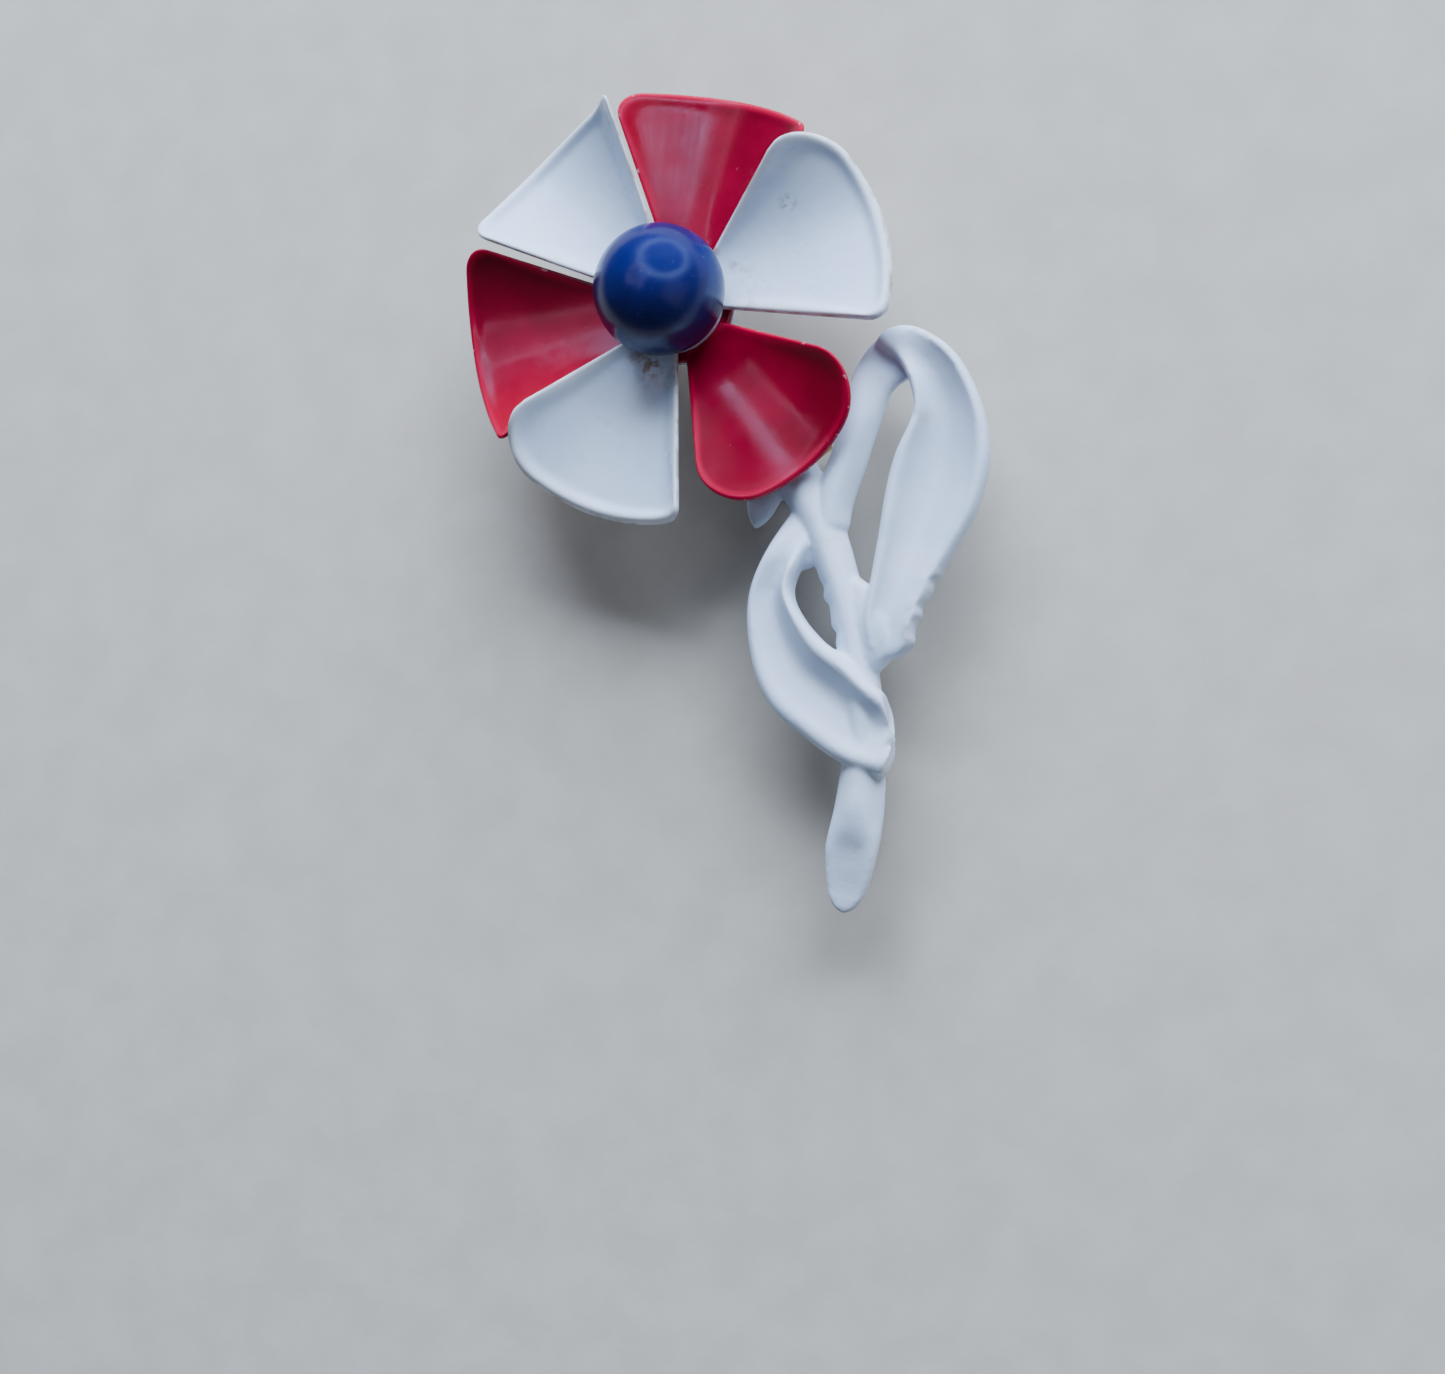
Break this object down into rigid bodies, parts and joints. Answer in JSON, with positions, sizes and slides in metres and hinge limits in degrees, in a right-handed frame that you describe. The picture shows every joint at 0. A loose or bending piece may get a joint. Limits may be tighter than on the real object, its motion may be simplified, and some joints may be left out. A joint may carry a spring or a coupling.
{
  "type": "flower brooch",
  "caption": "Enamelled flower brooch with alternating white and red petals, a blue bead, a white leafy stem, and a hinged pin with a safety catch on the back.",
  "frame": {"origin": "middle of the base: under the centre of the brooch's outline, level with the lowest point of the catch, as the brooch lies on its back", "axes": "+Z out of the front of the flower, +Y from the foot of the stem towards the flower, +X to the right seen from the front"},
  "size_m": [0.049, 0.0854, 0.0209],
  "materials": {
    "white_enamel": "satin white enamel on pressed metal",
    "red_enamel": "glossy red enamel on pressed metal",
    "blue_enamel": "glossy navy enamel on a drawn shell",
    "cast_enamel": "satin white enamel on a zinc casting",
    "gilt_brass": "plated sheet and wire, slightly dulled",
    "pin_steel": "drawn and polished wire"
  },
  "bodies": {
    "brooch": {"red_petals": "red_enamel", "white_petals": "white_enamel", "centre_bead": "blue_enamel", "bead_floor": "gilt_brass", "centre_rivet": "gilt_brass", "rivet_washer": "gilt_brass", "stem_casting": "cast_enamel", "pin_bar": "gilt_brass", "hinge_bracket": "gilt_brass", "hinge_pin": "pin_steel", "catch_ring": "gilt_brass"},
    "pin": {"pin_stem": "pin_steel"},
    "catch": {"catch_barrel": "gilt_brass"}
  },
  "joints": [
    {"name": "pin_swing", "type": "hinge", "parent": "brooch", "child": "pin", "pos_m": [-0.00576, 0.03042, 0.00211], "axis": [0.9455, 0.3256, 0], "range_deg": [0, 95]},
    {"name": "catch_turn", "type": "hinge", "parent": "brooch", "child": "catch", "pos_m": [0.00336, 0.00395, 0.00211], "axis": [-0.3256, 0.9455, 0], "range_deg": [0, 90]}
  ]
}
